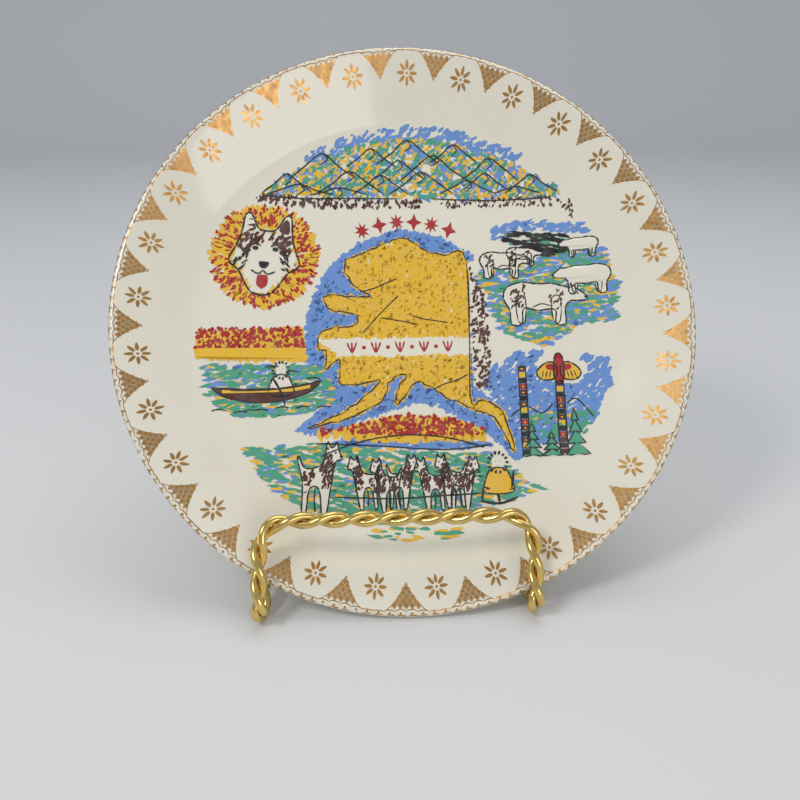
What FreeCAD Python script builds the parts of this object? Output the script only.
"""A souvenir plate on a folding display easel of twisted brass wire, in millimetres.

The easel stands on z = 0 with its front toward -Y, and the plate leans back in it.
Places are worked out in the seat frame, whose origin is on the table under the plate's
lowest point. Every sub-part's Placement then moves it by middle_y, so that the document's
origin is under the middle of the whole thing.
"""
import math
import os

import FreeCAD
import Part
import Sketcher
from FreeCAD import Placement, Rotation, Vector

SIZES = (
    # the plate, in its own frame: the rim's plane is z = 0 and the face looks along +Z
    ("plate_radius", 92.0),
    ("well_radius", 66.6),
    ("well_depth", 12.5),
    ("plate_depth", 18.0),
    ("rim_thickness", 3.6),
    ("floor_thickness", 3.3),
    ("foot_radius", 52.0),
    ("foot_width", 3.6),
    ("lip_fillet", 1.6),
    ("foot_fillet", 0.8),
    ("well_fillet", 25.0),
    ("underside_fillet", 18.0),
    # how the plate is held
    ("lean", 34.3),
    ("plate_lift", 2.1),
    ("rest_back", 21.2),
    # the twisted wire
    ("strand_radius", 1.23),
    ("strand_offset", 1.37),
    ("rope_radius", 2.52),
    ("lay_pitch", 17.9),
    ("steps_per_turn", 8),
    ("corner_radius", 8.0),
    # the front frame
    ("lip_half_width", 40.0),
    ("lip_height", 27.4),
    ("hook_radius", 4.0),
    ("hook_y", 4.4),
    ("rail_rise", 22.0),
    ("rest_bend_radius", 12.0),
    ("top_half_width", 27.0),
    ("top_along", 139.0),
    ("splice_gap", 0.6),
    ("sleeve_radius", 2.9),
    ("sleeve_length", 16.0),
    ("sleeve_bore", 2.45),
    # the pivot and the rear leg
    ("rod_radius", 1.5),
    ("rod_length", 64.0),
    ("rod_along", 128.0),
    ("rod_back", 4.0),
    ("leg_angle", 12.0),
    ("leg_half_width", 22.0),
    ("barrel_radius", 2.5),
    ("barrel_length", 6.0),
    ("running_gap", 0.05),
    ("ferrule_radius", 3.2),
    ("ferrule_length", 11.0),
    ("ferrule_floor", 3.6),
    ("tab_width", 6.0),
    ("tab_thickness", 1.2),
    ("tab_length", 12.5),
    ("tab_gap", 0.3),
    # from the seat frame to the document's origin; the plate sits a little right of the middle
    ("middle_y", 56.7),
    ("easel_shift", 5.2),
)

doc = FreeCAD.newDocument("souvenir_plate")
sheet = doc.addObject("Spreadsheet::Sheet", "sizes")
for row, (alias, value) in enumerate(SIZES, start=1):
    sheet.set("A%d" % row, alias)
    sheet.set("B%d" % row, str(value))
    sheet.setAlias("B%d" % row, alias)
doc.recompute()


def size(alias):
    """The value of one cell."""
    return float(sheet.get(alias))


LEAN = math.radians(size("lean"))
UP_PLATE = Vector(0, math.sin(LEAN), math.cos(LEAN))
BEHIND_PLATE = Vector(0, math.cos(LEAN), -math.sin(LEAN))
PLATE_TO_ORIGIN = Vector(0, -size("middle_y"), 0)
EASEL_TO_ORIGIN = Vector(-size("easel_shift"), -size("middle_y"), 0)


def on_rest(along, behind=0.0):
    """A point of the back rest's middle line: along the lean, and behind the rest's plane."""
    foot = Vector(0, 0, size("plate_lift")) + BEHIND_PLATE * size("rest_back")
    return foot + UP_PLATE * along + BEHIND_PLATE * behind


def sideways(point, x):
    """The same point moved to another x."""
    return Vector(x, point.y, point.z)


# ---- the plate ------------------------------------------------------------------------

def closed_outline(sketch, corners):
    """Straight edges through corners, each a pair of expressions for its x and y."""
    last = len(corners) - 1
    for i in range(len(corners)):
        sketch.addGeometry(Part.LineSegment(Vector(i, 0, 0), Vector(i + 1, 1, 0)), False)
    for i in range(len(corners)):
        follower = 0 if i == last else i + 1
        sketch.addConstraint(Sketcher.Constraint("Coincident", i, 2, follower, 1))
    for i, pair in enumerate(corners):
        for kind, expression in zip(("DistanceX", "DistanceY"), pair):
            index = sketch.addConstraint(Sketcher.Constraint(kind, -1, 1, i, 1, 1.0))
            sketch.setExpression("Constraints[%d]" % index, expression)


def ring_edges(shape, radius, height):
    """Names of the circular edges at one radius and height."""
    names = []
    for i, edge in enumerate(shape.Edges, start=1):
        if not isinstance(edge.Curve, Part.Circle):
            continue
        same_radius = abs(edge.Curve.Radius - radius) < 0.01
        if same_radius and abs(edge.Curve.Center.z - height) < 0.01:
            names.append("Edge%d" % i)
    return names


def fillet(body, name, cell, rings):
    """Rounds the ring edges at the given (radius, height) pairs."""
    base = body.Tip
    names = []
    for radius, height in rings:
        names += ring_edges(base.Shape, radius, height)
    feature = body.newObject("PartDesign::Fillet", name)
    feature.Base = (base, names)
    feature.setExpression("Radius", "sizes." + cell)
    doc.recompute()


def plate_body():
    """The revolved earthenware plate: sloping rim, flat well, and a foot ring."""
    body = doc.addObject("PartDesign::Body", "plate_body")
    body.Label = "plate_body"
    sketch = body.newObject("Sketcher::SketchObject", "plate_profile")
    plane = [f for f in body.Origin.OriginFeatures if f.Role == "XZ_Plane"][0]
    sketch.AttachmentSupport = [(plane, "")]
    sketch.MapMode = "FlatFace"
    underside = "-(sizes.well_depth + sizes.floor_thickness)"
    foot_in = "sizes.foot_radius - sizes.foot_width / 2"
    foot_out = "sizes.foot_radius + sizes.foot_width / 2"
    back_edge = "sizes.well_radius"
    closed_outline(sketch, (
        ("0", "-sizes.well_depth"),
        ("sizes.well_radius", "-sizes.well_depth"),
        ("sizes.plate_radius", "0"),
        ("sizes.plate_radius", "-sizes.rim_thickness"),
        (back_edge, underside),
        (foot_out, underside),
        (foot_out, "-sizes.plate_depth"),
        (foot_in, "-sizes.plate_depth"),
        (foot_in, underside),
        ("0", underside),
    ))
    revolution = body.newObject("PartDesign::Revolution", "plate_revolution")
    revolution.Profile = sketch
    revolution.ReferenceAxis = (sketch, ["V_Axis"])
    revolution.Angle = 360
    doc.recompute()

    floor = -size("well_depth") - size("floor_thickness")
    outer = size("foot_radius") + size("foot_width") / 2
    inner = size("foot_radius") - size("foot_width") / 2
    fillet(body, "well_rounding", "well_fillet", [(size("well_radius"), -size("well_depth"))])
    fillet(body, "underside_rounding", "underside_fillet", [(size("well_radius"), floor)])
    fillet(body, "lip_rounding", "lip_fillet",
           [(size("plate_radius"), 0), (size("plate_radius"), -size("rim_thickness"))])
    fillet(body, "foot_rounding", "foot_fillet",
           [(outer, -size("plate_depth")), (inner, -size("plate_depth"))])

    centre = Vector(0, 0, size("plate_lift")) + UP_PLATE * size("plate_radius")
    body.Placement = Placement(centre + PLATE_TO_ORIGIN,
                               Rotation(Vector(1, 0, 0), 90 - size("lean")))
    return body


# ---- twisted wire ---------------------------------------------------------------------

def rounded_route(points, radii):
    """A wire of straight runs, with a tangent arc of its own radius at each inner point."""
    edges = []
    last = points[0]
    for before, corner, after, radius in zip(points, points[1:], points[2:], radii):
        back = (before - corner).normalize()
        ahead = (after - corner).normalize()
        half = back.getAngle(ahead) / 2
        run = radius / math.tan(half)
        start = corner + back * run
        end = corner + ahead * run
        inward = (back + ahead).normalize()
        middle = corner + inward * (radius / math.sin(half) - radius)
        edges.append(Part.LineSegment(last, start).toShape())
        edges.append(Part.Arc(start, middle, end).toShape())
        last = end
    edges.append(Part.LineSegment(last, points[-1]).toShape())
    return Part.Wire(edges)


def blended_route(points):
    """A wire through points, where each arc takes up 0.45 of the shorter run beside it."""
    radii = []
    for before, corner, after in zip(points, points[1:], points[2:]):
        half = (before - corner).getAngle(after - corner) / 2
        shorter = min((before - corner).Length, (after - corner).Length)
        radii.append(0.45 * shorter * math.tan(half))
    return rounded_route(points, radii)


def strand(name, centreline, phase):
    """One of the two wires laid left-handed round a centreline, starting at phase degrees."""
    turns = centreline.Length / size("lay_pitch")
    steps = round(turns * size("steps_per_turn"))
    places = centreline.discretize(Number=steps + 1)
    side = None
    points = []
    for i, place in enumerate(places):
        ahead = places[min(i + 1, steps)] - places[max(i - 1, 0)]
        ahead.normalize()
        if side is None:
            side = ahead.cross(Vector(0, 1, 0))
        side = (side - ahead * side.dot(ahead)).normalize()
        across = ahead.cross(side)
        angle = math.radians(phase) - 2 * math.pi * turns * i / steps
        outward = side * math.cos(angle) + across * math.sin(angle)
        points.append(place + outward * size("strand_offset"))
    path = blended_route(points)
    profile = Part.Circle(points[0], points[1] - points[0], size("strand_radius"))
    wire = doc.addObject("Part::Feature", name)
    wire.Label = name
    wire.Shape = path.makePipe(Part.Face(Part.Wire(profile.toShape())))
    wire.Placement = Placement(EASEL_TO_ORIGIN, Rotation())
    wanted = math.pi * size("strand_radius") ** 2 * path.Length
    if abs(wire.Shape.Volume / wanted - 1) > 0.001:
        raise RuntimeError("the sweep of %s lost some of its volume" % name)
    return wire


def front_route():
    """The closed frame: top bar, back rest, rails under the rim, hooks and front lip."""
    leg = math.radians(90 - size("lean"))
    rail = math.radians(size("rail_rise"))
    radius = size("hook_radius")
    reach = radius / math.sin((leg - rail) / 2)
    aim = (leg + rail) / 2
    hook = Vector(0, size("hook_y") - reach * math.cos(aim),
                  radius + size("rope_radius") - reach * math.sin(aim))
    lip = hook + UP_PLATE * ((size("lip_height") - hook.z) / UP_PLATE.z)
    # where the rail, which climbs backward from the hook, meets the back rest's plane
    rail_way = Vector(0, math.cos(rail), math.sin(rail))
    to_rest = (on_rest(0) - hook).dot(BEHIND_PLATE) / rail_way.dot(BEHIND_PLATE)
    bend = hook + rail_way * to_rest
    top = on_rest(size("top_along"))
    wide = size("lip_half_width")
    narrow = size("top_half_width")
    right = [sideways(top, size("splice_gap") / 2), sideways(top, narrow),
             sideways(bend, wide), sideways(hook, wide), sideways(lip, wide)]
    left = [sideways(point, -point.x) for point in reversed(right)]
    one_side = [size("corner_radius"), size("rest_bend_radius"), radius, size("corner_radius")]
    return rounded_route(right + left, one_side + one_side[::-1])


def splice_sleeve():
    """The crimped tube over the two ends of the front frame, on the top bar."""
    outer = doc.addObject("Part::Cylinder", "sleeve_outside")
    outer.setExpression("Radius", "sizes.sleeve_radius")
    outer.setExpression("Height", "sizes.sleeve_length")
    bore = doc.addObject("Part::Cylinder", "sleeve_inside")
    bore.setExpression("Radius", "sizes.sleeve_bore")
    bore.setExpression("Height", "sizes.sleeve_length")
    sleeve = doc.addObject("Part::Cut", "front_splice_sleeve")
    sleeve.Label = "front_splice_sleeve"
    sleeve.Base = outer
    sleeve.Tool = bore
    start = sideways(on_rest(size("top_along")), -size("sleeve_length") / 2)
    sleeve.Placement = Placement(start + EASEL_TO_ORIGIN, Rotation(Vector(0, 1, 0), 90))
    return sleeve


# ---- the pivot and the rear leg -------------------------------------------------------

def pivot_centre():
    """The middle of the pivot rod."""
    return on_rest(size("rod_along"), size("rod_back"))


def pivot_rod():
    """The straight rod brazed across the back of the rest."""
    rod = doc.addObject("Part::Cylinder", "pivot_rod")
    rod.Label = "pivot_rod"
    rod.setExpression("Radius", "sizes.rod_radius")
    rod.setExpression("Height", "sizes.rod_length")
    start = sideways(pivot_centre(), -size("rod_length") / 2)
    rod.Placement = Placement(start + EASEL_TO_ORIGIN, Rotation(Vector(0, 1, 0), 90))
    return rod


def rear_route():
    """The rear leg: down from one knuckle, along the table, and up to the other."""
    slant = math.radians(size("leg_angle"))
    down = Vector(0, math.sin(slant), -math.cos(slant))
    pivot = pivot_centre()
    foot = pivot + down * ((pivot.z - size("rope_radius")) / math.cos(slant))
    start = pivot + down * size("ferrule_floor")
    wide = size("leg_half_width")
    points = [sideways(start, wide), sideways(foot, wide),
              sideways(foot, -wide), sideways(start, -wide)]
    return rounded_route(points, [size("corner_radius")] * 2)


def across_x(name, radius_expression, length_expression):
    """A cylinder along X, centred on the origin."""
    cylinder = doc.addObject("Part::Cylinder", name)
    cylinder.setExpression("Radius", radius_expression)
    cylinder.setExpression("Height", length_expression)
    doc.recompute()
    start = Vector(-cylinder.Height.Value / 2, 0, 0)
    cylinder.Placement = Placement(start, Rotation(Vector(0, 1, 0), 90))
    return cylinder


def hinge_knuckle(name, x):
    """A barrel on the rod, a ferrule for the leg's end, and a tab that stops at the top bar."""
    barrel = across_x(name + "_barrel", "sizes.barrel_radius", "sizes.barrel_length")
    ferrule = doc.addObject("Part::Cylinder", name + "_ferrule")
    ferrule.setExpression("Radius", "sizes.ferrule_radius")
    ferrule.setExpression("Height", "sizes.ferrule_length")
    ferrule_top = size("rod_radius") + size("running_gap")
    ferrule.Placement = Placement(Vector(0, 0, -ferrule_top - size("ferrule_length")), Rotation())

    tab = doc.addObject("Part::Box", name + "_tab")
    tab.setExpression("Length", "sizes.tab_width")
    tab.setExpression("Width", "sizes.tab_thickness")
    tab.setExpression("Height", "sizes.tab_length")
    opening = Rotation(Vector(1, 0, 0), -size("lean") - size("leg_angle"))
    front = size("rope_radius") + size("tab_gap") - size("rod_back")
    tab.Placement = Placement(opening.multVec(Vector(-size("tab_width") / 2, front, 0)), opening)

    solid = doc.addObject("Part::MultiFuse", name + "_solid")
    solid.Shapes = [barrel, ferrule, tab]
    hole = across_x(name + "_hole", "sizes.rod_radius + sizes.running_gap",
                    "2 * sizes.barrel_length")
    socket = doc.addObject("Part::Cylinder", name + "_socket")
    socket.setExpression("Radius", "sizes.sleeve_bore")
    socket.setExpression("Height", "2 * sizes.ferrule_length")
    below = -size("ferrule_floor") - 2 * size("ferrule_length")
    socket.Placement = Placement(Vector(0, 0, below), Rotation())
    cuts = doc.addObject("Part::MultiFuse", name + "_cuts")
    cuts.Shapes = [hole, socket]

    knuckle = doc.addObject("Part::Cut", name)
    knuckle.Label = name
    knuckle.Base = solid
    knuckle.Tool = cuts
    place = sideways(pivot_centre(), x) + EASEL_TO_ORIGIN
    knuckle.Placement = Placement(place, Rotation(Vector(1, 0, 0), size("leg_angle")))
    return knuckle


front = front_route()
rear = rear_route()
subparts = [
    plate_body(),
    strand("front_wire_a", front, 0),
    strand("front_wire_b", front, 180),
    splice_sleeve(),
    pivot_rod(),
    strand("rear_wire_a", rear, 0),
    strand("rear_wire_b", rear, 180),
    hinge_knuckle("hinge_knuckle_left", -size("leg_half_width")),
    hinge_knuckle("hinge_knuckle_right", size("leg_half_width")),
]
doc.recompute()

for item in doc.Objects:
    if "Invalid" in item.State or "Error" in item.State:
        raise RuntimeError("%s did not recompute" % item.Name)
os.makedirs("parts", exist_ok=True)
for subpart in subparts:
    if subpart.Shape.isNull() or not subpart.Shape.isValid():
        raise RuntimeError("%s has no valid shape" % subpart.Label)
    subpart.Shape.exportStep("parts/%s.step" % subpart.Label)
    print("%s: %.1f mm3" % (subpart.Label, subpart.Shape.Volume))
